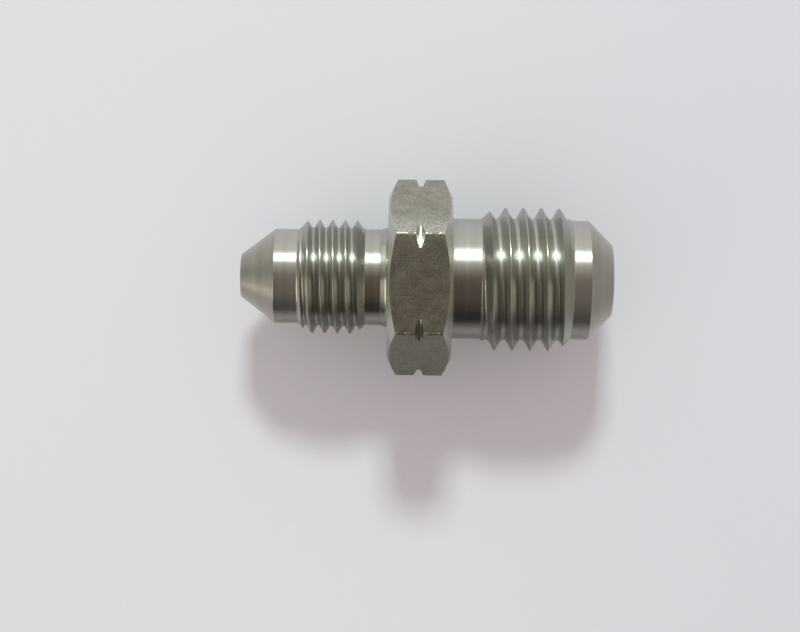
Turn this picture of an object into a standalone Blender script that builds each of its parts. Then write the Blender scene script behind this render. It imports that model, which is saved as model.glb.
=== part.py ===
"""A straight male to male reducing adapter, turned in one piece from hexagonal steel bar.

Metres, +Z up. It lies on one flat of its hexagon, its axis along X, the larger end at +X.
The origin is under the middle of its length, on the surface that it lies on.
"""

from dataclasses import dataclass
from math import ceil, cos, pi, radians, sin, tan, tau

import bmesh
import bpy
from mathutils import Vector

# The hexagon: 9/16 inch bar, chamfered at both faces, with a groove that nicks its six corners.
HEX_WIDTH = 0.0142875
HEX_LENGTH = 0.0053
HEX_CHAMFER_DIAMETER = 0.01356
HEX_CHAMFER_ANGLE = radians(26.5)
GROOVE_DEPTH = 0.00052
GROOVE_FLAT = 0.00036
GROOVE_HALF_ANGLE = radians(22)
GROOVE_FILLET = 0.00015

# The small end: 3/8 inch, 24 threads to the inch, with a 37 degree cone.
SMALL_THREAD_DIAMETER = 0.009525
SMALL_PITCH = 0.0010583
SMALL_THREAD_LENGTH = 0.004
SMALL_THREAD_PHASE = 0.00049
SMALL_NECK_LENGTH = 0.00193
SMALL_NECK_RELIEF = 0.00011
SMALL_NECK_FILLET = 0.00055
SMALL_PILOT_LENGTH = 0.00195
SMALL_PILOT_RELIEF = 0.00016
SMALL_CONE_ANGLE = radians(37)
SMALL_BORE_DIAMETER = 0.003
SMALL_NOSE_LAND = 0.0003

# The large end: 12 mm, 1.5 mm pitch, with a 45 degree cone.
LARGE_THREAD_DIAMETER = 0.012
LARGE_PITCH = 0.0015
LARGE_THREAD_LENGTH = 0.0055
LARGE_THREAD_PHASE = 0.00069
LARGE_NECK_LENGTH = 0.00247
LARGE_NECK_RELIEF = 0.00005
LARGE_NECK_FILLET = 0.00022
LARGE_PILOT_LENGTH = 0.00145
LARGE_PILOT_RELIEF = 0.00011
LARGE_CONE_ANGLE = radians(45)
LARGE_BORE_DIAMETER = 0.004
LARGE_NOSE_LAND = 0.001

# The wider bore runs this deep from the large end, to a drill point that meets the narrow one.
LARGE_BORE_DEPTH = 0.017
DRILL_POINT_ANGLE = radians(59)

# Both ends share these.
SHOULDER_ANGLE = radians(45)
FOOT_FILLET = 0.0002
NOSE_ROUND = 0.00012
MOUTH_CHAMFER = 0.0001

# The thread's form, as shares of its pitch: crest flat, depth, and how far the cutter stands proud.
FLANK_ANGLE = radians(30)
CREST_FLAT_SHARE = 1 / 8
THREAD_DEPTH_SHARE = 0.6134
CUTTER_RISE_SHARE = 0.05

# How far other cuts run past what they cut, and the distance at which points are one.
CUT_OVERRUN = 0.0002
MERGE_DISTANCE = 0.000001

# Facets: sides of a turned surface, and steps in a fillet. Sharper edges than this are shaded sharp.
ROUND_STEPS = 48
FILLET_STEPS = 3
SHARP_ANGLE = radians(25)

AXIS_HEIGHT = HEX_WIDTH / 2
HEX_CORNER_RADIUS = AXIS_HEIGHT / cos(pi / 6)


@dataclass
class End:
    """One threaded end. Its distances run outwards from the hexagon's face."""

    thread_diameter: float
    pitch: float
    thread_length: float
    thread_phase: float
    neck_length: float
    neck_relief: float
    neck_fillet: float
    pilot_length: float
    pilot_relief: float
    cone_angle: float
    bore_diameter: float
    nose_land: float

    def __post_init__(self):
        self.thread_radius = self.thread_diameter / 2
        self.root_radius = self.thread_radius - self.pitch * THREAD_DEPTH_SHARE
        self.neck_radius = self.root_radius - self.neck_relief
        self.pilot_radius = self.root_radius - self.pilot_relief
        self.bore_radius = self.bore_diameter / 2
        self.nose_radius = self.bore_radius + self.nose_land
        self.thread_start = self.neck_length + self.slope(self.neck_radius)
        self.thread_stop = self.thread_start + self.thread_length
        self.pilot_start = self.thread_stop + self.slope(self.pilot_radius)
        self.pilot_stop = self.pilot_start + self.pilot_length
        cone_length = (self.pilot_radius - self.nose_radius) / tan(self.cone_angle)
        self.reach = self.pilot_stop + cone_length

    def slope(self, radius):
        """Length of the shoulder that falls from the thread's crest to this radius."""
        return (self.thread_radius - radius) / tan(SHOULDER_ANGLE)


SMALL_END = End(
    SMALL_THREAD_DIAMETER,
    SMALL_PITCH,
    SMALL_THREAD_LENGTH,
    SMALL_THREAD_PHASE,
    SMALL_NECK_LENGTH,
    SMALL_NECK_RELIEF,
    SMALL_NECK_FILLET,
    SMALL_PILOT_LENGTH,
    SMALL_PILOT_RELIEF,
    SMALL_CONE_ANGLE,
    SMALL_BORE_DIAMETER,
    SMALL_NOSE_LAND,
)
LARGE_END = End(
    LARGE_THREAD_DIAMETER,
    LARGE_PITCH,
    LARGE_THREAD_LENGTH,
    LARGE_THREAD_PHASE,
    LARGE_NECK_LENGTH,
    LARGE_NECK_RELIEF,
    LARGE_NECK_FILLET,
    LARGE_PILOT_LENGTH,
    LARGE_PILOT_RELIEF,
    LARGE_CONE_ANGLE,
    LARGE_BORE_DIAMETER,
    LARGE_NOSE_LAND,
)

# The hexagon's middle on the axis, from which the meshes are laid out.
HEX_CENTRE = Vector(((SMALL_END.reach - LARGE_END.reach) / 2, 0, AXIS_HEIGHT))


def end_corners(end, side):
    """Corners of an end's outline from the neck to the axis, each as (x, radius, fillet)."""
    corners = [
        (0, end.neck_radius, end.neck_fillet),
        (end.neck_length, end.neck_radius, FOOT_FILLET),
        (end.thread_start, end.thread_radius, 0),
        (end.thread_stop, end.thread_radius, 0),
        (end.pilot_start, end.pilot_radius, FOOT_FILLET),
        (end.pilot_stop, end.pilot_radius, 0),
        (end.reach, end.nose_radius, NOSE_ROUND),
        (end.reach, 0, 0),
    ]
    return [(side * (HEX_LENGTH / 2 + out), radius, fillet) for out, radius, fillet in corners]


def hexagon_corners():
    """Corners of the cut over the hexagon: face, chamfer, groove, chamfer, face."""
    clear = HEX_CORNER_RADIUS + CUT_OVERRUN
    chamfer_radius = HEX_CHAMFER_DIAMETER / 2
    chamfer_inner = HEX_LENGTH / 2 - (clear - chamfer_radius) * tan(HEX_CHAMFER_ANGLE)
    root = HEX_CORNER_RADIUS - GROOVE_DEPTH
    groove_half = GROOVE_FLAT / 2 + (clear - root) * tan(GROOVE_HALF_ANGLE)
    half = [
        (GROOVE_FLAT / 2, root, GROOVE_FILLET),
        (groove_half, clear, 0),
        (chamfer_inner, clear, 0),
        (HEX_LENGTH / 2, chamfer_radius, 0),
    ]
    return [(-x, radius, fillet) for x, radius, fillet in reversed(half)] + half


def fillet_arc(before, corner, after, fillet):
    """Points of the arc that rounds a corner of an outline."""
    arrive = (corner - before).normalized()
    leave = (after - corner).normalized()
    turn = arrive.angle(leave)
    first = corner - arrive * fillet * tan(turn / 2)
    centre = corner + (leave - arrive).normalized() * fillet / cos(turn / 2)
    angles = [turn * step / FILLET_STEPS for step in range(FILLET_STEPS + 1)]
    return [centre + (first - centre) * cos(a) + arrive * fillet * sin(a) for a in angles]


def outline_points(corners):
    """Points (x, radius) of an outline, with its fillets rounded."""
    points = []
    for index, (x, radius, fillet) in enumerate(corners):
        corner = Vector((x, radius))
        if fillet:
            before = Vector(corners[index - 1][:2])
            after = Vector(corners[index + 1][:2])
            points += fillet_arc(before, corner, after, fillet)
        else:
            points.append(corner)
    return points


def add_object(name, bm, material):
    """An object at the hexagon's middle from a finished bmesh, its faces pointing out."""
    bmesh.ops.recalc_face_normals(bm, faces=bm.faces)
    mesh = bpy.data.meshes.new(name)
    bm.to_mesh(mesh)
    bm.free()
    mesh.materials.append(material)
    mesh.shade_smooth()
    body = bpy.data.objects.new(name, mesh)
    body.location = HEX_CENTRE
    bpy.context.collection.objects.link(body)
    return body


def add_turned(name, corners, material):
    """A solid turned about X from an outline that starts and ends on the axis."""
    bm = bmesh.new()
    verts = [bm.verts.new((point.x, 0, point.y)) for point in outline_points(corners)]
    edges = [bm.edges.new(pair) for pair in zip(verts, verts[1:])]
    bmesh.ops.spin(
        bm,
        geom=verts + edges,
        cent=(0, 0, 0),
        axis=(1, 0, 0),
        angle=tau,
        steps=ROUND_STEPS,
        use_merge=True,
    )
    bmesh.ops.remove_doubles(bm, verts=bm.verts, dist=MERGE_DISTANCE)
    return add_object(name, bm, material)


def add_bar(name, length, material):
    """Hexagonal bar along X, flats up and down."""
    bm = bmesh.new()
    verts = [
        bm.verts.new((-length / 2, HEX_CORNER_RADIUS * cos(angle), HEX_CORNER_RADIUS * sin(angle)))
        for angle in (tau * corner / 6 for corner in range(6))
    ]
    face = bm.faces.new(verts)
    pushed = bmesh.ops.extrude_face_region(bm, geom=[face])["geom"]
    moved = [item for item in pushed if isinstance(item, bmesh.types.BMVert)]
    bmesh.ops.translate(bm, verts=moved, vec=(length, 0, 0))
    return add_object(name, bm, material)


def add_thread_cutter(name, end, side, material):
    """The V groove of a right-hand thread, as a helix that starts and stops clear of the metal."""
    rise = end.pitch * CUTTER_RISE_SHARE
    depth = end.pitch * THREAD_DEPTH_SHARE
    top_half = end.pitch * (1 - CREST_FLAT_SHARE) / 2
    root_half = top_half - depth * tan(FLANK_ANGLE)
    proud_half = top_half + rise * tan(FLANK_ANGLE)
    start = end.neck_length - proud_half - CUT_OVERRUN
    stop = end.pilot_start + proud_half + CUT_OVERRUN
    steps = ceil((stop - start) / end.pitch * ROUND_STEPS)
    angle = tau * (start - end.thread_phase) / end.pitch
    section = [
        (-proud_half, end.thread_radius + rise),
        (-root_half, end.root_radius),
        (root_half, end.root_radius),
        (proud_half, end.thread_radius + rise),
    ]
    bm = bmesh.new()
    verts = [
        bm.verts.new((HEX_LENGTH / 2 + start + along, radius * cos(angle), radius * sin(angle)))
        for along, radius in section
    ]
    face = bm.faces.new(verts)
    bmesh.ops.spin(
        bm,
        geom=[face],
        cent=(0, 0, 0),
        axis=(1, 0, 0),
        dvec=(end.pitch / ROUND_STEPS, 0, 0),
        angle=tau * steps / ROUND_STEPS,
        steps=steps,
    )
    cutter = add_object(name, bm, material)
    if side < 0:
        cutter.rotation_euler.z = pi
    return cutter


def add_blank(material):
    """All that the lathe leaves of the bar, apart from the threads and the bore."""
    small = end_corners(SMALL_END, -1)
    large = end_corners(LARGE_END, 1)
    return add_turned("turned_form", small[::-1] + hexagon_corners() + large, material)


def add_bore(material):
    """The through bore: narrow from the small end, wider from the large end, both mouths broken."""
    small_x = -(HEX_LENGTH / 2 + SMALL_END.reach)
    large_x = HEX_LENGTH / 2 + LARGE_END.reach
    small_radius = SMALL_END.bore_radius
    large_radius = LARGE_END.bore_radius
    shoulder_x = large_x - LARGE_BORE_DEPTH
    point_x = shoulder_x - (large_radius - small_radius) / tan(DRILL_POINT_ANGLE)
    mouth = MOUTH_CHAMFER + CUT_OVERRUN
    corners = [
        (small_x - CUT_OVERRUN, 0, 0),
        (small_x - CUT_OVERRUN, small_radius + mouth, 0),
        (small_x + MOUTH_CHAMFER, small_radius, 0),
        (point_x, small_radius, 0),
        (shoulder_x, large_radius, 0),
        (large_x - MOUTH_CHAMFER, large_radius, 0),
        (large_x + CUT_OVERRUN, large_radius + mouth, 0),
        (large_x + CUT_OVERRUN, 0, 0),
    ]
    return add_turned("bore_form", corners, material)


def weld(mesh):
    """Makes one point of those that a cut leaves in the same place."""
    bm = bmesh.new()
    bm.from_mesh(mesh)
    bmesh.ops.remove_doubles(bm, verts=bm.verts, dist=MERGE_DISTANCE)
    bm.to_mesh(mesh)
    bm.free()


def cut(body, form, operation):
    """Applies one cut, which leaves the finish of the form on the faces that it makes."""
    modifier = body.modifiers.new(form.name, "BOOLEAN")
    modifier.operation = operation
    modifier.solver = "EXACT"
    modifier.material_mode = "TRANSFER"
    modifier.object = form
    graph = bpy.context.evaluated_depsgraph_get()
    mesh = bpy.data.meshes.new_from_object(body.evaluated_get(graph))
    weld(mesh)
    body.modifiers.clear()
    body.data = mesh
    bpy.data.objects.remove(form)


def steel(name, colour, roughness):
    material = bpy.data.materials.new(name)
    material.use_nodes = True
    shader = material.node_tree.nodes["Principled BSDF"]
    shader.inputs["Base Color"].default_value = (*colour, 1)
    shader.inputs["Metallic"].default_value = 1
    shader.inputs["Roughness"].default_value = roughness
    return material


def main():
    for old in list(bpy.data.objects):
        bpy.data.objects.remove(old)
    turned_steel = steel("turned_steel", (0.62, 0.6, 0.56), 0.22)
    drawn_skin = steel("drawn_bar_skin", (0.4, 0.39, 0.35), 0.5)

    longest = max(SMALL_END.reach, LARGE_END.reach)
    body = add_bar("adapter_body", HEX_LENGTH + 2 * (longest + CUT_OVERRUN), drawn_skin)
    cut(body, add_blank(turned_steel), "INTERSECT")
    cut(body, add_bore(turned_steel), "DIFFERENCE")
    cut(body, add_thread_cutter("small_thread_cutter", SMALL_END, -1, turned_steel), "DIFFERENCE")
    cut(body, add_thread_cutter("large_thread_cutter", LARGE_END, 1, turned_steel), "DIFFERENCE")
    body.data.name = body.name
    body.data.shade_smooth()
    body.data.set_sharp_from_angle(angle=SHARP_ANGLE)


main()
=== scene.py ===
"""Looks of a one-piece hydraulic adapter: bright turned steel, lying on white paper."""

from math import ceil, cos, pi, radians, sin, tan, tau

import bmesh
import bpy
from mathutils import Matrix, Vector


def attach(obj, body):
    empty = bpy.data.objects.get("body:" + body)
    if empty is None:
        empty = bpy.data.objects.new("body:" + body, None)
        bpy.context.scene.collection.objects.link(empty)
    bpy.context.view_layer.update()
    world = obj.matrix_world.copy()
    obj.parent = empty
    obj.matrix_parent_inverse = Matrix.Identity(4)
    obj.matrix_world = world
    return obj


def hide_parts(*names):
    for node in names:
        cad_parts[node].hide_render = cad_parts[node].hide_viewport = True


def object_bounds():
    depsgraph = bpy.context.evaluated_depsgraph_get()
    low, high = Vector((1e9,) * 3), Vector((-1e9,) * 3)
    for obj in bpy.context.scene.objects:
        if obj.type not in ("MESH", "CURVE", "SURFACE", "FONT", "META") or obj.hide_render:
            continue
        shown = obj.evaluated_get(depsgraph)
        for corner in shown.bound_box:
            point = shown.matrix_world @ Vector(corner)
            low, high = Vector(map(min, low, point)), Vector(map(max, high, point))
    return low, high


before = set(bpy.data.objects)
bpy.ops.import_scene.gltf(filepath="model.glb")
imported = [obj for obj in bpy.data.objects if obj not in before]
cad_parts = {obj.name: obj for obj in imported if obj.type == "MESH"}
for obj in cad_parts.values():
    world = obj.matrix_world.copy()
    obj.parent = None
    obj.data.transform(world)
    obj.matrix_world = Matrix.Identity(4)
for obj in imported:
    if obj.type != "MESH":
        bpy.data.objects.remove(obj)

cad_low, cad_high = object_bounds()

# The hexagon and the groove that nicks its corners, in metres like every length here.
HEX_WIDTH = cad_high.z - cad_low.z
HEX_LENGTH = 0.0053
HEX_CHAMFER_RADIUS = 0.00678
HEX_CHAMFER_ANGLE = radians(26.5)
HEX_EDGE_ROUND = 0.0001
HEX_EDGE_STEPS = 3
GROOVE_DEPTH = 0.00056
GROOVE_FLAT = 0.0003
GROOVE_HALF_ANGLE = radians(26.5)
GROOVE_FILLET = 0.00015
AXIS_Z = HEX_WIDTH / 2
CORNER_RADIUS = AXIS_Z / cos(pi / 6)

# The two threaded ends. Each is given from the hexagon's face outwards.
SMALL = {
    "side": -1,
    "thread_radius": 0.0047625,
    "pitch": 0.0010583,
    "crest_share": 0.1,
    "thread_length": 0.004,
    "phase": 0.00049,
    "neck_length": 0.00193,
    "neck_relief": 0.00011,
    "neck_fillet": 0.0003,
    "root_length": 0.00061,
    "root_rise": 0.0002,
    "pilot_length": 0.00195,
    "pilot_relief": 0.00016,
    "cone_angle": radians(37),
    "bore_radius": 0.0015,
    "nose_land": 0.0003,
}
LARGE = {
    "side": 1,
    "thread_radius": 0.006,
    "pitch": 0.0015,
    "crest_share": 0.055,
    "thread_length": 0.0055,
    "phase": 0.00069,
    "neck_length": 0.00247,
    "neck_relief": 0.00005,
    "neck_fillet": 0.00014,
    "root_length": 0.0002,
    "root_rise": 0.00004,
    "pilot_length": 0.00145,
    "pilot_relief": 0.00011,
    "cone_angle": radians(45),
    "bore_radius": 0.002,
    "nose_land": 0.001,
}
LARGE_BORE_DEPTH = 0.017
DRILL_POINT_ANGLE = radians(59)
MOUTH_CHAMFER = 0.0001

# What both ends share: the threads' sloping shoulders, fillets, noses and broken edges.
SHOULDER_ANGLE = radians(45)
FOOT_FILLET = 0.0002
NOSE_ROUND = 0.00012
EDGE_BREAK = 0.00005
ROOT_STEP = 0.00002

# Thread form: depth as a share of the pitch, and the crest's easing as shares of its flat.
FLANK_ANGLE = radians(30)
THREAD_DEPTH_SHARE = 0.6134
CREST_ROUND_SHARE = 0.8
FLARE_SHARE = 0.45
FLARE_RISE_SHARE = 0.04

# How it is made: a cutter's overrun, the welding distance, the steps of a full turn and of a fillet,
# where points hold a stretch flat and how long it is then, and the sharpest edge shaded smooth.
OVERRUN = 0.0002
WELD = 0.0000004
ROUND_STEPS = 192
ARC_STEP = radians(15)
FEWEST_ARC_STEPS = 2
HOLD = 0.00004
HELD_FROM = 4 * HOLD
SMOOTH_ANGLE = radians(28)

# Numbers of the finishes, the lean along the axis up to which a face counts as level, and how far
# from the hexagon's middle its sloping faces are the groove's.
BRIGHT, SATIN, THREAD, SKIN, NOTCH, CHAMFER, BORE = range(7)
FLAT_SLOPE = 0.1
NOTCH_REACH = HEX_LENGTH / 4

# Turned finishes: colours, the spacing and depth of the marks, the roughness that they vary between,
# and how far they stretch a reflection.
STEEL = (0.48, 0.48, 0.44)
STEEL_DARK = (0.4, 0.395, 0.36)
BORE_STEEL = (0.3, 0.29, 0.27)
BRIGHT_TURNED = {
    "metallic": 0.98,
    "light": STEEL,
    "dark": STEEL_DARK,
    "spacing": 0.00006,
    "depth": 0.0000004,
    "smooth": 0.22,
    "rough": 0.28,
    "stretch": 0.5,
}
SATIN_TURNED = {
    "metallic": 0.85,
    "light": (0.485, 0.473, 0.43),
    "dark": (0.41, 0.397, 0.358),
    "spacing": 0.00008,
    "depth": 0.000001,
    "smooth": 0.2,
    "rough": 0.28,
    "stretch": 0.5,
}
THREAD_FLANKS = {
    "metallic": 0.97,
    "light": STEEL,
    "dark": STEEL_DARK,
    "spacing": 0.00005,
    "depth": 0.0000005,
    "smooth": 0.24,
    "rough": 0.36,
    "stretch": 0.4,
}
NOTCH_CUT = {
    "metallic": 0.97,
    "light": STEEL,
    "dark": STEEL,
    "spacing": 0.00005,
    "depth": 0.0000001,
    "smooth": 0.2,
    "rough": 0.24,
    "stretch": 0.85,
}
CHAMFER_CUT = {
    "metallic": 0.97,
    "light": (0.66, 0.66, 0.62),
    "dark": (0.54, 0.54, 0.5),
    "spacing": 0.00008,
    "depth": 0.000001,
    "smooth": 0.3,
    "rough": 0.42,
    "stretch": 0.5,
}
DRILLED_BORE = {
    "metallic": 0.9,
    "light": BORE_STEEL,
    "dark": BORE_STEEL,
    "spacing": 0.0001,
    "depth": 0.000002,
    "smooth": 0.3,
    "rough": 0.45,
    "stretch": 0.5,
}
# The swing of the bands' tint, the quarter turn that stretches along the axis, and the marks' noise.
BAND_TINT = (-0.6, 1.6)
QUARTER_TURN = 0.25
RING_SCALE = 1.0
BAND_SCALE = 0.12
MARK_DETAIL = 2.0

# The drawn skin of the bar: its colours, grain, mottle and the roughness that it varies between.
SKIN_LIGHT = (0.43, 0.42, 0.35)
SKIN_DARK = (0.24, 0.22, 0.185)
SKIN_GRAIN = 0.00017
SKIN_RELIEF = 0.000018
FINE_SHARE = 0.6
COARSE_SHARE = 0.4
SKIN_TINT = (-1.0, 2.0)
SKIN_ROUGHNESS = (0.3, 0.46)
COARSE_SCALE = 0.2
GRAIN_DETAIL = 3.0
GRAIN_ROUGHNESS = 0.6

# Bright specks painted as glints on one rubbed corner of the skin: their place across it and up from
# the axis.
SKIN_RUBBED_GLINTS = (0.64, 0.64, 0.57)
GLINTS_ACROSS = [CORNER_RADIUS / 2 + away for away in (-0.0009, 0.0001, 0.0001, 0.0017)]
GLINTS_ABOVE = (0.0, 0.002)
GLINT_SPECKS = (0.33, 0.64)

# Beads along the hexagon's long edges, and the dull gaps between them.
EDGE_RADIUS = (CORNER_RADIUS - 0.0001, CORNER_RADIUS - 0.00005)
BEAD_SIZE = 0.00032
BEAD_DETAIL = 1.0
GAPS = (0.49, 0.43)
GAP_ROUGHNESS = 0.5

# White paper, with painted shade that makes it a little dimmer towards the large end.
PAPER_SIZE = 6.0
PAPER_ROUGHNESS = 0.5
PAPER = (0.8, 0.8, 0.8)
PAPER_RIGHT_SHADE = (0.765, 0.755, 0.765)
RIGHT_SHADE_REACH = (-0.01, 0.035)
# Painted shade on the paper that the steel reflects: duller than the camera sees it, most of all
# beside its ends and towards -Y.
PAPER_SEEN_SHADE = (0.7, 0.685, 0.68)
PAPER_SIDES_SHADE = (0.44, 0.43, 0.4)
SIDES_SHADE_REACH = (0.016, 0.05)
PAPER_NEAR_SHADE = (0.5, 0.5, 0.5)
NEAR_SHADE_REACH = (0.0, -0.01)
PAPER_FAR_SHADE = (0.22, 0.22, 0.22)
FAR_SHADE_REACH = (-0.012, -0.085)
SHADE_AHEAD_SLANT = (1.8, 0.8)

# The camera looks down on the adapter from the photograph's place.
CAMERA_PLACE = (-0.00087, 0.01178, 0.18457)
CAMERA_TURN = (-0.0843, 0.0085, 0.0146)
CAMERA_LENS = 95.3
CAMERA_CLIP = 0.01

# One soft lamp towards +Y, and a plain even light for the paper. The tilt is from overhead.
LAMP_DISTANCE = 1.2
LAMP_TILT = radians(50)
LAMP_LENGTH = 0.2
LAMP_WIDTH = 0.14
LAMP_RADIANCE = 94.0
LAMP_COLOUR = (0.805, 0.945, 0.99)
PAPER_FILL = (0.59, 0.53, 0.555)

# What the steel sees of the room across the adapter: degrees from overhead towards +Y, and colour.
ROOM = (
    (-84, (0.034, 0.034, 0.031)),
    (-72, (0.025, 0.024, 0.022)),
    (-56, (0.06, 0.051, 0.042)),
    (-38, (0.115, 0.088, 0.07)),
    (-10, (0.15, 0.11, 0.09)),
    (8, (0.19, 0.16, 0.13)),
    (26, (0.5, 0.48, 0.39)),
    (45, (0.62, 0.62, 0.52)),
    (62, (0.84, 0.85, 0.76)),
    (85, (0.96, 0.97, 0.87)),
)
# Over that lie soft-edged patches: paler low sides, one end towards -X and a brighter one towards +X,
# the lamp's glow and a window. X is how far a direction points along the axis, from -1 to 1, aside
# is X without its sign, and a tilt is in the room's degrees.
LOW_SIDES = (0.27, 0.25, 0.215)
LOW_SIDES_ASIDE = (0.25, 0.6)
LOW_SIDES_TILT = (-88, -75, -40, -15)
SMALL_SIDE = (0.31, 0.3, 0.265)
SMALL_SIDE_X = (-0.7, -0.95)
LARGE_SIDE = (0.42, 0.38, 0.32)
LARGE_SIDE_X = (0.5, 0.85)
GLOW = (1.4, 1.4, 1.0)
GLOW_ASIDE = (0.14, 0.24, 0.7, 0.8)
GLOW_TILT = (40, 47, 60, 66)
WINDOW = (2.7, 2.55, 2.1)
WINDOW_X = (-0.94, -0.84, -0.72, -0.54)
WINDOW_TILT = (-80, -72, -4, 0)


def finish_sizes(end):
    """Adds the sizes that follow from an end's own sizes."""
    end["root_radius"] = end["thread_radius"] - end["pitch"] * THREAD_DEPTH_SHARE
    end["neck_radius"] = end["root_radius"] - end["neck_relief"]
    end["pilot_radius"] = end["root_radius"] - end["pilot_relief"]
    end["nose_radius"] = end["bore_radius"] + end["nose_land"]
    fall = 1 / tan(SHOULDER_ANGLE)
    end["thread_start"] = end["neck_length"] + (end["thread_radius"] - end["neck_radius"]) * fall
    end["thread_stop"] = end["thread_start"] + end["thread_length"]
    end["pilot_start"] = end["thread_stop"] + (end["thread_radius"] - end["pilot_radius"]) * fall
    end["pilot_stop"] = end["pilot_start"] + end["pilot_length"]
    cone = (end["pilot_radius"] - end["nose_radius"]) / tan(end["cone_angle"])
    end["reach"] = end["pilot_stop"] + cone


finish_sizes(SMALL)
finish_sizes(LARGE)
HEX_X = (SMALL["reach"] - LARGE["reach"]) / 2


def rounded_outline(corners):
    """Points (x, radius) along an outline whose corners are (x, radius, fillet)."""
    points = []
    for index, (x, radius, fillet) in enumerate(corners):
        corner = Vector((x, radius))
        if not fillet:
            points.append(corner)
            continue
        arrive = (corner - Vector(corners[index - 1][:2])).normalized()
        leave = (Vector(corners[index + 1][:2]) - corner).normalized()
        turn = arrive.angle(leave)
        first = corner - arrive * fillet * tan(turn / 2)
        centre = corner + (leave - arrive).normalized() * fillet / cos(turn / 2)
        steps = max(FEWEST_ARC_STEPS, round(turn / ARC_STEP))
        for step in range(steps + 1):
            angle = turn * step / steps
            points.append(centre + (first - centre) * cos(angle) + arrive * fillet * sin(angle))
    return points


def with_holds(points):
    """Adds a point close to both ends of each long straight stretch, so that it shades flat."""
    held = [points[0]]
    for before, after in zip(points, points[1:]):
        along = after - before
        if along.length > HELD_FROM:
            held += [before + along.normalized() * HOLD, after - along.normalized() * HOLD]
        held.append(after)
    return held


def deselect_all():
    bpy.ops.object.select_all(action="DESELECT")


def draw_wire(name, points):
    """A wire along outline points, drawn above the axis by extruding one point. Left in edit mode."""
    deselect_all()
    bpy.ops.mesh.primitive_plane_add(size=OVERRUN, location=(points[0].x, 0, points[0].y))
    wire = bpy.context.object
    wire.name = wire.data.name = name
    bpy.ops.object.transform_apply(location=True, rotation=False, scale=False)
    bpy.ops.object.mode_set(mode="EDIT")
    bpy.ops.mesh.select_mode(type="VERT")
    bpy.ops.mesh.select_all(action="SELECT")
    bpy.ops.mesh.merge(type="CENTER")
    for before, after in zip(points, points[1:]):
        step = after - before
        bpy.ops.mesh.extrude_vertices_move(TRANSFORM_OT_translate={"value": (step.x, 0, step.y)})
    return wire


def turn_solid(name, corners):
    """A solid turned about the X axis from an outline that starts and ends on the axis."""
    solid = draw_wire(name, with_holds(rounded_outline(corners)))
    bpy.ops.mesh.select_all(action="SELECT")
    bpy.ops.mesh.spin(steps=ROUND_STEPS, angle=tau, center=(0, 0, 0), axis=(1, 0, 0))
    bpy.ops.mesh.select_all(action="SELECT")
    bpy.ops.mesh.remove_doubles(threshold=WELD)
    bpy.ops.mesh.normals_make_consistent(inside=False)
    bpy.ops.object.mode_set(mode="OBJECT")
    return solid


def end_corners(end):
    """Corners of an end's outline from the neck to the axis."""
    corners = [
        (0, end["neck_radius"] + end["root_rise"], end["neck_fillet"]),
        (end["root_length"], end["neck_radius"] + ROOT_STEP, 0),
        (end["root_length"] + ROOT_STEP, end["neck_radius"], 0),
        (end["neck_length"], end["neck_radius"], FOOT_FILLET),
        (end["thread_start"], end["thread_radius"], EDGE_BREAK),
        (end["thread_stop"], end["thread_radius"], EDGE_BREAK),
        (end["pilot_start"], end["pilot_radius"], FOOT_FILLET),
        (end["pilot_stop"], end["pilot_radius"], EDGE_BREAK),
        (end["reach"], end["nose_radius"], NOSE_ROUND),
        (end["reach"], 0, 0),
    ]
    side = end["side"]
    return [(side * (HEX_LENGTH / 2 + out), radius, fillet) for out, radius, fillet in corners]


def hexagon_corners():
    """Corners of the cut over the hexagon: face, chamfer, groove, chamfer, face."""
    clear = CORNER_RADIUS + OVERRUN
    chamfer_inner = HEX_LENGTH / 2 - (clear - HEX_CHAMFER_RADIUS) * tan(HEX_CHAMFER_ANGLE)
    root = CORNER_RADIUS - GROOVE_DEPTH
    groove_half = GROOVE_FLAT / 2 + (clear - root) * tan(GROOVE_HALF_ANGLE)
    half = [
        (GROOVE_FLAT / 2, root, GROOVE_FILLET),
        (groove_half, clear, 0),
        (chamfer_inner, clear, 0),
        (HEX_LENGTH / 2, HEX_CHAMFER_RADIUS, EDGE_BREAK),
    ]
    return [(-x, radius, fillet) for x, radius, fillet in reversed(half)] + half


def make_bar():
    """The hexagonal bar, its six long edges slightly rounded."""
    longest = HEX_LENGTH + 2 * (max(SMALL["reach"], LARGE["reach"]) + OVERRUN)
    deselect_all()
    bpy.ops.mesh.primitive_cylinder_add(
        vertices=6,
        radius=CORNER_RADIUS,
        depth=longest,
        rotation=(0, pi / 2, 0),
    )
    bar = bpy.context.object
    bar.name = bar.data.name = "adapter"
    bpy.ops.object.transform_apply(location=True, rotation=True, scale=True)
    bpy.ops.object.mode_set(mode="EDIT")
    bpy.ops.mesh.select_mode(type="EDGE")
    mesh = bmesh.from_edit_mesh(bar.data)
    for edge in mesh.edges:
        edge.select = abs(edge.verts[0].co.x - edge.verts[1].co.x) > HEX_LENGTH
    mesh.select_flush_mode()
    bpy.ops.mesh.bevel(offset=HEX_EDGE_ROUND, segments=HEX_EDGE_STEPS, affect="EDGES")
    bpy.ops.object.mode_set(mode="OBJECT")
    return bar


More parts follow.
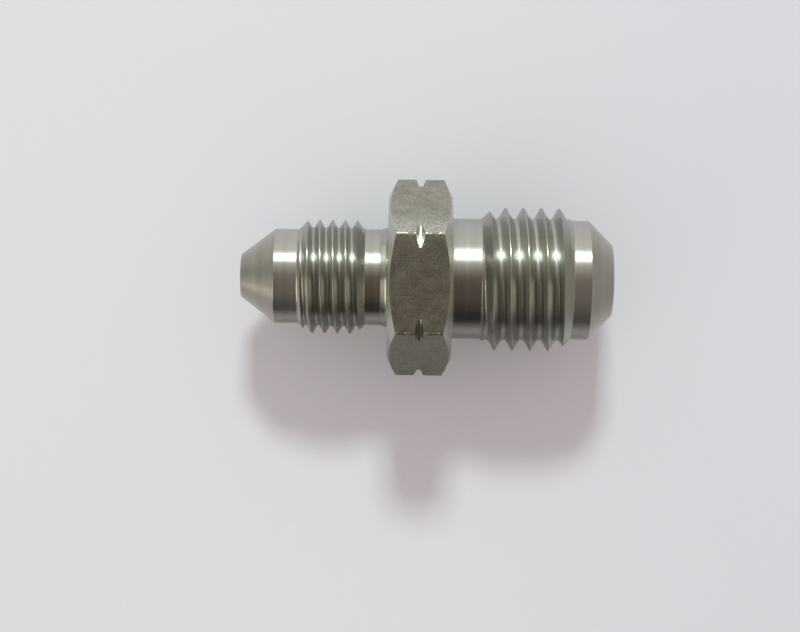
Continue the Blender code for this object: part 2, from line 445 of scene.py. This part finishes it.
def thread_cutter(name, end):
    """The helical V groove of a right-hand thread, with a round root and eased crest edges."""
    pitch = end["pitch"]
    crest = end["thread_radius"]
    flat = pitch * end["crest_share"]
    half = (pitch - flat) / 2
    flare = half + flat * FLARE_SHARE
    top = crest + flat * FLARE_RISE_SHARE
    apex = half / tan(FLANK_ANGLE)
    section = rounded_outline(
        [
            (-flare, top, 0),
            (-half, crest, flat * CREST_ROUND_SHARE),
            (0, crest - apex, apex - pitch * THREAD_DEPTH_SHARE),
            (half, crest, flat * CREST_ROUND_SHARE),
            (flare, top, 0),
        ]
    )
    # The section stands over the axis, a quarter turn on from where the phase is measured.
    first = end["phase"] + pitch / 4
    start = first - pitch * ceil((first - end["neck_length"] + flare + OVERRUN) / pitch)
    turns = ceil((end["pilot_start"] + flare + OVERRUN - start) / pitch)
    cutter = draw_wire(name, [Vector((HEX_LENGTH / 2 + start + p.x, p.y)) for p in section])
    ring = bmesh.from_edit_mesh(cutter.data)
    for vert in ring.verts:
        vert.select = len(vert.link_edges) == 1
    ring.select_flush_mode()
    bpy.ops.mesh.edge_face_add()
    bpy.ops.object.mode_set(mode="OBJECT")

    helix = cutter.modifiers.new("helix", "SCREW")
    helix.axis = "X"
    helix.angle = tau
    helix.screw_offset = pitch
    helix.iterations = turns
    helix.steps = helix.render_steps = ROUND_STEPS
    bpy.ops.object.modifier_apply(modifier=helix.name)
    bpy.ops.object.mode_set(mode="EDIT")
    bpy.ops.mesh.select_mode(type="VERT")
    bpy.ops.mesh.select_all(action="DESELECT")
    bpy.ops.mesh.select_non_manifold()
    bpy.ops.mesh.fill_holes(sides=0)
    bpy.ops.mesh.select_all(action="SELECT")
    bpy.ops.mesh.normals_make_consistent(inside=False)
    bpy.ops.object.mode_set(mode="OBJECT")
    if end["side"] < 0:
        bpy.ops.transform.rotate(value=pi, orient_axis="Z", center_override=(0, 0, 0))
        bpy.ops.object.transform_apply(location=True, rotation=True, scale=True)
    return cutter


def bore_form():
    """What the drills take out: a narrow bore, a wider one from the large end, broken mouths."""
    small_x = -(HEX_LENGTH / 2 + SMALL["reach"])
    large_x = HEX_LENGTH / 2 + LARGE["reach"]
    shoulder_x = large_x - LARGE_BORE_DEPTH
    fall = (LARGE["bore_radius"] - SMALL["bore_radius"]) / tan(DRILL_POINT_ANGLE)
    mouth = MOUTH_CHAMFER + OVERRUN
    corners = [
        (small_x - OVERRUN, 0, 0),
        (small_x - OVERRUN, SMALL["bore_radius"] + mouth, 0),
        (small_x + MOUTH_CHAMFER, SMALL["bore_radius"], 0),
        (shoulder_x - fall, SMALL["bore_radius"], 0),
        (shoulder_x, LARGE["bore_radius"], 0),
        (large_x - MOUTH_CHAMFER, LARGE["bore_radius"], 0),
        (large_x + OVERRUN, LARGE["bore_radius"] + mouth, 0),
        (large_x + OVERRUN, 0, 0),
    ]
    return turn_solid("bore", corners)


def cut(piece, form, operation):
    """Applies one cut to the piece. The form that made it goes."""
    modifier = piece.modifiers.new(form.name, "BOOLEAN")
    modifier.operation = operation
    modifier.solver = "EXACT"
    modifier.object = form
    deselect_all()
    bpy.context.view_layer.objects.active = piece
    piece.select_set(True)
    bpy.ops.object.modifier_apply(modifier=modifier.name)
    bpy.data.objects.remove(form)
    bpy.ops.object.mode_set(mode="EDIT")
    bpy.ops.mesh.select_all(action="SELECT")
    bpy.ops.mesh.remove_doubles(threshold=WELD)
    bpy.ops.object.mode_set(mode="OBJECT")


def make_adapter():
    """The whole adapter as one mesh, cut from the bar as on the lathe, laid out about its axis."""
    small = end_corners(SMALL)
    large = end_corners(LARGE)
    adapter = make_bar()
    cut(adapter, turn_solid("turned_form", small[::-1] + hexagon_corners() + large), "INTERSECT")
    cut(adapter, bore_form(), "DIFFERENCE")
    cut(adapter, thread_cutter("small_thread", SMALL), "DIFFERENCE")
    cut(adapter, thread_cutter("large_thread", LARGE), "DIFFERENCE")
    return adapter


def new_group(name, inputs, outputs):
    """An empty shader node group with its sockets, each as (name, kind, value)."""
    group = bpy.data.node_groups.new(name, "ShaderNodeTree")
    for in_out, sockets in (("INPUT", inputs), ("OUTPUT", outputs)):
        for socket, kind, value in sockets:
            made = group.interface.new_socket(socket, in_out=in_out, socket_type=kind)
            if value is not None:
                made.default_value = value
    return group, group.nodes.new("NodeGroupInput"), group.nodes.new("NodeGroupOutput")


def add(tree, kind, inputs=None, **settings):
    """A node with its settings. Each input is a value, or the socket that it is linked from."""
    node = tree.nodes.new(kind)
    for setting, value in settings.items():
        setattr(node, setting, value)
    for socket, value in (inputs or {}).items():
        if isinstance(value, bpy.types.NodeSocket):
            tree.links.new(value, node.inputs[socket])
        else:
            node.inputs[socket].default_value = value
    return node


def maths(tree, operation, *values):
    """The outcome of one maths operation on values or sockets."""
    return add(tree, "ShaderNodeMath", dict(enumerate(values)), operation=operation).outputs[0]


def mix_colours(tree, factor, one, other):
    """One colour where the factor is 0, the other where it is 1. A Mix node's 6 and 7 are colours."""
    node = add(tree, "ShaderNodeMix", {0: factor, 6: one, 7: other}, data_type="RGBA")
    return node.outputs[2]


def spread(tree, value, low, high):
    """A value from 0 to 1 spread from low to high."""
    node = add(tree, "ShaderNodeMapRange", {"Value": value, "To Min": low, "To Max": high})
    return node.outputs[0]


def step_up(tree, value, start, stop):
    """0 before the start, 1 past the stop, smooth between them. Either may be the higher one."""
    node = add(
        tree,
        "ShaderNodeMapRange",
        {"Value": value, "From Min": start, "From Max": stop},
        interpolation_type="SMOOTHSTEP",
    )
    return node.outputs[0]


def both(tree, one, other):
    """The overlap of two masks."""
    return maths(tree, "MULTIPLY", one, other)


def between(tree, value, limits):
    """1 between the two inner limits, 0 beyond the two outer ones."""
    rise = step_up(tree, value, limits[0], limits[1])
    return both(tree, rise, step_up(tree, value, limits[3], limits[2]))


def distance_out(tree, place):
    """Distance from the axis, from a place split into X, Y and Z."""
    squares = [maths(tree, "MULTIPLY", place[i], place[i]) for i in (1, 2)]
    return maths(tree, "SQRT", maths(tree, "ADD", *squares))


def make_turning_marks():
    """Fine rings that the tool leaves: they follow the distance along the axis and out from it."""
    group, entry, leave = new_group(
        "turning_marks",
        [("Place", "NodeSocketVector", None), ("Spacing", "NodeSocketFloat", 0.0001)],
        [("Rings", "NodeSocketFloat", None), ("Bands", "NodeSocketFloat", None)],
    )
    place = add(group, "ShaderNodeSeparateXYZ", {0: entry.outputs["Place"]}).outputs
    radius = distance_out(group, place)
    rings = maths(group, "DIVIDE", place[0], entry.outputs["Spacing"])
    steps = maths(group, "DIVIDE", radius, entry.outputs["Spacing"])
    turn_y = maths(group, "DIVIDE", place[1], radius)
    turn_z = maths(group, "DIVIDE", place[2], radius)
    vector = add(group, "ShaderNodeCombineXYZ", {0: rings, 1: steps, 2: turn_y}).outputs[0]
    for output, scale in (("Rings", RING_SCALE), ("Bands", BAND_SCALE)):
        noise = add(
            group,
            "ShaderNodeTexNoise",
            noise_dimensions="4D",
            inputs={"Vector": vector, "W": turn_z, "Scale": scale, "Detail": MARK_DETAIL},
        )
        group.links.new(noise.outputs[0], leave.inputs[output])
    return group


def make_grain():
    """Even grain of two sizes, fine and coarse."""
    group, entry, leave = new_group(
        "grain",
        [("Place", "NodeSocketVector", None), ("Size", "NodeSocketFloat", 0.0001)],
        [("Fine", "NodeSocketFloat", None), ("Coarse", "NodeSocketFloat", None)],
    )
    scale = maths(group, "DIVIDE", 1.0, entry.outputs["Size"])
    coarse = maths(group, "MULTIPLY", scale, COARSE_SCALE)
    for output, size in (("Fine", scale), ("Coarse", coarse)):
        noise = add(
            group,
            "ShaderNodeTexNoise",
            {
                "Vector": entry.outputs["Place"],
                "Scale": size,
                "Detail": GRAIN_DETAIL,
                "Roughness": GRAIN_ROUGHNESS,
            },
        )
        group.links.new(noise.outputs[0], leave.inputs[output])
    return group


def new_material(name, metallic):
    """A steel finish: its tree, its shader and the place on the piece, centred on the axis."""
    material = bpy.data.materials.new(name)
    material.use_nodes = True
    tree = material.node_tree
    shader = tree.nodes["Principled BSDF"]
    shader.inputs["Metallic"].default_value = metallic
    coords = add(tree, "ShaderNodeTexCoord").outputs["Object"]
    centred = add(tree, "ShaderNodeMapping", {"Vector": coords, "Location": (0, 0, -AXIS_Z)})
    return material, tree, shader, centred.outputs[0]


def turned_finish(name, metallic, light, dark, spacing, depth, smooth, rough, stretch):
    """A turned surface: rings in its relief, bands in its colour and gloss."""
    material, tree, shader, place = new_material(name, metallic)
    marks = add(tree, "ShaderNodeGroup", node_tree=MARKS)
    tree.links.new(place, marks.inputs["Place"])
    marks.inputs["Spacing"].default_value = spacing
    rings, bands = marks.outputs
    # The marks run round the axis, so they stretch what the surface reflects along it.
    around = add(tree, "ShaderNodeTangent", direction_type="RADIAL", axis="X")
    tree.links.new(around.outputs[0], shader.inputs["Tangent"])
    shader.inputs["Anisotropic"].default_value = stretch
    shader.inputs["Anisotropic Rotation"].default_value = QUARTER_TURN
    tint = mix_colours(tree, spread(tree, bands, *BAND_TINT), (*dark, 1), (*light, 1))
    bump = add(tree, "ShaderNodeBump", {"Height": rings, "Distance": depth, "Strength": 1.0})
    tree.links.new(tint, shader.inputs["Base Color"])
    tree.links.new(spread(tree, bands, smooth, rough), shader.inputs["Roughness"])
    tree.links.new(bump.outputs[0], shader.inputs["Normal"])
    return material


def skin_finish(name):
    """The drawn skin of the bar on the hexagon's flats: mottled, finely pitted, rubbed and worn, with
    glints painted on one corner.
    """
    material, tree, shader, place = new_material(name, 1.0)
    grain = add(tree, "ShaderNodeGroup", node_tree=GRAIN)
    tree.links.new(place, grain.inputs["Place"])
    grain.inputs["Size"].default_value = SKIN_GRAIN
    fine, coarse = grain.outputs
    fine_part = maths(tree, "MULTIPLY", fine, FINE_SHARE)
    coarse_part = maths(tree, "MULTIPLY", coarse, COARSE_SHARE)
    mottle = maths(tree, "ADD", fine_part, coarse_part)
    tint = mix_colours(tree, spread(tree, mottle, *SKIN_TINT), (*SKIN_DARK, 1), (*SKIN_LIGHT, 1))
    bump = add(tree, "ShaderNodeBump", {"Height": fine, "Distance": SKIN_RELIEF, "Strength": 1.0})
    # One corner is rubbed bright in specks of painted glint, thickly at its edge and thinly away from
    # it.
    split = add(tree, "ShaderNodeSeparateXYZ", {0: place}).outputs
    across = between(tree, split[1], GLINTS_ACROSS)
    glint_corner = both(tree, across, step_up(tree, split[2], *GLINTS_ABOVE))
    glint_specks = both(tree, glint_corner, step_up(tree, fine, *GLINT_SPECKS))
    tint = mix_colours(tree, glint_specks, tint, (*SKIN_RUBBED_GLINTS, 1))
    # The rounded long edges catch the light in beads, because they are dull in the gaps.
    edge = step_up(tree, distance_out(tree, split), *EDGE_RADIUS)
    beads = add(
        tree,
        "ShaderNodeTexNoise",
        {"Vector": place, "Scale": 1 / BEAD_SIZE, "Detail": BEAD_DETAIL},
    )
    gaps = both(tree, edge, step_up(tree, beads.outputs[0], *GAPS))
    skin_rough = spread(tree, mottle, *SKIN_ROUGHNESS)
    rough = maths(tree, "MULTIPLY_ADD", gaps, GAP_ROUGHNESS, skin_rough)
    tree.links.new(tint, shader.inputs["Base Color"])
    tree.links.new(rough, shader.inputs["Roughness"])
    tree.links.new(bump.outputs[0], shader.inputs["Normal"])
    return material


def finish_of(face):
    """Number of the finish that a face takes, from its place and the way it faces."""
    x, y, z = face.center
    radius = Vector((y, z)).length
    outward = (face.normal.y * y + face.normal.z * z) / max(radius, WELD)
    end = SMALL if x < 0 else LARGE
    out = abs(x) - HEX_LENGTH / 2
    level = abs(face.normal.x) < FLAT_SLOPE
    if outward < 0 and radius < end["nose_radius"]:
        return BORE
    if out < -WELD:
        if level:
            return SKIN
        return NOTCH if abs(x) < NOTCH_REACH else CHAMFER
    if out < WELD or out > end["pilot_start"]:
        return SATIN
    if out > end["thread_start"] - end["pitch"] and out < end["pilot_start"] and not level:
        return THREAD
    return BRIGHT


def dress(adapter):
    """Gives every face its finish."""
    finishes = [
        turned_finish("bright_turned", **BRIGHT_TURNED),
        turned_finish("satin_turned", **SATIN_TURNED),
        turned_finish("thread_flanks", **THREAD_FLANKS),
        skin_finish("drawn_skin"),
        turned_finish("notch", **NOTCH_CUT),
        turned_finish("chamfers", **CHAMFER_CUT),
        turned_finish("drilled_bore", **DRILLED_BORE),
    ]
    for finish in finishes:
        adapter.data.materials.append(finish)
    for face in adapter.data.polygons:
        face.material_index = finish_of(face)


def settle(adapter):
    """Smooth shading that keeps its flats flat, and the adapter moved to its place."""
    deselect_all()
    adapter.select_set(True)
    bpy.context.view_layer.objects.active = adapter
    bpy.ops.object.shade_smooth_by_angle(angle=SMOOTH_ANGLE)
    weighted = adapter.modifiers.new("flat_faces", "WEIGHTED_NORMAL")
    weighted.keep_sharp = True
    bpy.ops.object.modifier_apply(modifier=weighted.name)
    adapter.location = (HEX_X, 0, AXIS_Z)
    bpy.ops.object.transform_apply(location=True, rotation=True, scale=True)


def make_paper():
    """White paper to the camera, with painted shade a little dimmer towards the large end. To the
    steel it is duller, with painted shade that deepens towards -Y.
    """
    deselect_all()
    bpy.ops.mesh.primitive_plane_add(size=PAPER_SIZE)
    paper = bpy.context.object
    paper.name = "paper"
    material = bpy.data.materials.new("white_paper")
    material.use_nodes = True
    tree = material.node_tree
    shader = tree.nodes["Principled BSDF"]
    coords = add(tree, "ShaderNodeTexCoord").outputs["Object"]
    place = add(tree, "ShaderNodeSeparateXYZ", {0: coords}).outputs
    # Painted shade on the paper that the steel reflects: duller all round, darker beside the ends,
    # near the adapter and far towards -Y.
    slant = maths(tree, "ABSOLUTE", maths(tree, "DIVIDE", place[0], place[1]))
    shade_ahead = step_up(tree, slant, *SHADE_AHEAD_SLANT)
    near_shade = both(tree, shade_ahead, step_up(tree, place[1], *NEAR_SHADE_REACH))
    far_shade = both(tree, shade_ahead, step_up(tree, place[1], *FAR_SHADE_REACH))
    side_shade = step_up(tree, maths(tree, "ABSOLUTE", place[0]), *SIDES_SHADE_REACH)
    reflected_shade = mix_colours(tree, side_shade, (*PAPER_SEEN_SHADE, 1), (*PAPER_SIDES_SHADE, 1))
    reflected_shade = mix_colours(tree, near_shade, reflected_shade, (*PAPER_NEAR_SHADE, 1))
    reflected_shade = mix_colours(tree, far_shade, reflected_shade, (*PAPER_FAR_SHADE, 1))
    # Painted shade: the sheet that the camera sees is a little dimmer towards the large end.
    right_shade = step_up(tree, place[0], *RIGHT_SHADE_REACH)
    sheet = mix_colours(tree, right_shade, (*PAPER, 1), (*PAPER_RIGHT_SHADE, 1))
    camera = add(tree, "ShaderNodeLightPath").outputs["Is Camera Ray"]
    colour = mix_colours(tree, camera, reflected_shade, sheet)
    tree.links.new(colour, shader.inputs["Base Color"])
    shader.inputs["Roughness"].default_value = PAPER_ROUGHNESS
    paper.data.materials.append(material)


def make_lamp():
    """The lamp, a rectangle that faces the adapter."""
    place = Vector((0, sin(LAMP_TILT), cos(LAMP_TILT))) * LAMP_DISTANCE
    lamp = bpy.data.lights.new("soft_lamp", "AREA")
    lamp.shape = "RECTANGLE"
    lamp.size = LAMP_LENGTH
    lamp.size_y = LAMP_WIDTH
    lamp.color = LAMP_COLOUR
    lamp.energy = LAMP_RADIANCE * pi * LAMP_LENGTH * LAMP_WIDTH
    holder = bpy.data.objects.new("soft_lamp", lamp)
    holder.location = place
    holder.rotation_euler = place.to_track_quat("Z", "Y").to_euler()
    bpy.context.scene.collection.objects.link(holder)


def make_room():
    """The room that the steel and the camera see, and an even light for the paper."""
    world = bpy.data.worlds.new("room")
    world.use_nodes = True
    tree = world.node_tree
    coords = add(tree, "ShaderNodeTexCoord").outputs["Generated"]
    way = add(tree, "ShaderNodeSeparateXYZ", {0: coords}).outputs
    tilt = maths(tree, "ARCTAN2", way[1], way[2])
    across = maths(tree, "ADD", maths(tree, "DIVIDE", tilt, tau), 0.5)
    ramp = add(tree, "ShaderNodeValToRGB", {0: across})
    bands = ramp.color_ramp.elements
    bands.remove(bands[1])
    for index, (degrees, colour) in enumerate(ROOM):
        position = degrees / 360 + 0.5
        band = bands[0] if index == 0 else bands.new(position)
        band.position = position
        band.color = (*colour, 1)
    degrees = maths(tree, "MULTIPLY", tilt, 360 / tau)
    aside = maths(tree, "ABSOLUTE", way[0])
    low_aside = step_up(tree, aside, *LOW_SIDES_ASIDE)
    patches = (
        (both(tree, low_aside, between(tree, degrees, LOW_SIDES_TILT)), LOW_SIDES),
        (step_up(tree, way[0], *SMALL_SIDE_X), SMALL_SIDE),
        (step_up(tree, way[0], *LARGE_SIDE_X), LARGE_SIDE),
        (both(tree, between(tree, aside, GLOW_ASIDE), between(tree, degrees, GLOW_TILT)), GLOW),
        (both(tree, between(tree, way[0], WINDOW_X), between(tree, degrees, WINDOW_TILT)), WINDOW),
    )
    room = ramp.outputs[0]
    for mask, colour in patches:
        room = mix_colours(tree, mask, room, (*colour, 1))
    diffuse = add(tree, "ShaderNodeLightPath").outputs["Is Diffuse Ray"]
    light = mix_colours(tree, diffuse, room, (*PAPER_FILL, 1))
    background = tree.nodes["Background"]
    tree.links.new(light, background.inputs["Color"])
    bpy.context.scene.world = world


def make_camera():
    """The camera, from above and a little towards +Y."""
    camera = bpy.data.cameras.new("camera")
    camera.lens = CAMERA_LENS
    camera.clip_start = CAMERA_CLIP
    holder = bpy.data.objects.new("camera", camera)
    holder.location = CAMERA_PLACE
    holder.rotation_euler = CAMERA_TURN
    bpy.context.scene.collection.objects.link(holder)
    bpy.context.scene.camera = holder


MARKS = make_turning_marks()
GRAIN = make_grain()

adapter = make_adapter()
dress(adapter)
settle(adapter)
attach(adapter, "root")
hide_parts("adapter_body")

make_paper()
make_lamp()
make_room()
make_camera()
bpy.context.scene.view_settings.view_transform = "Standard"
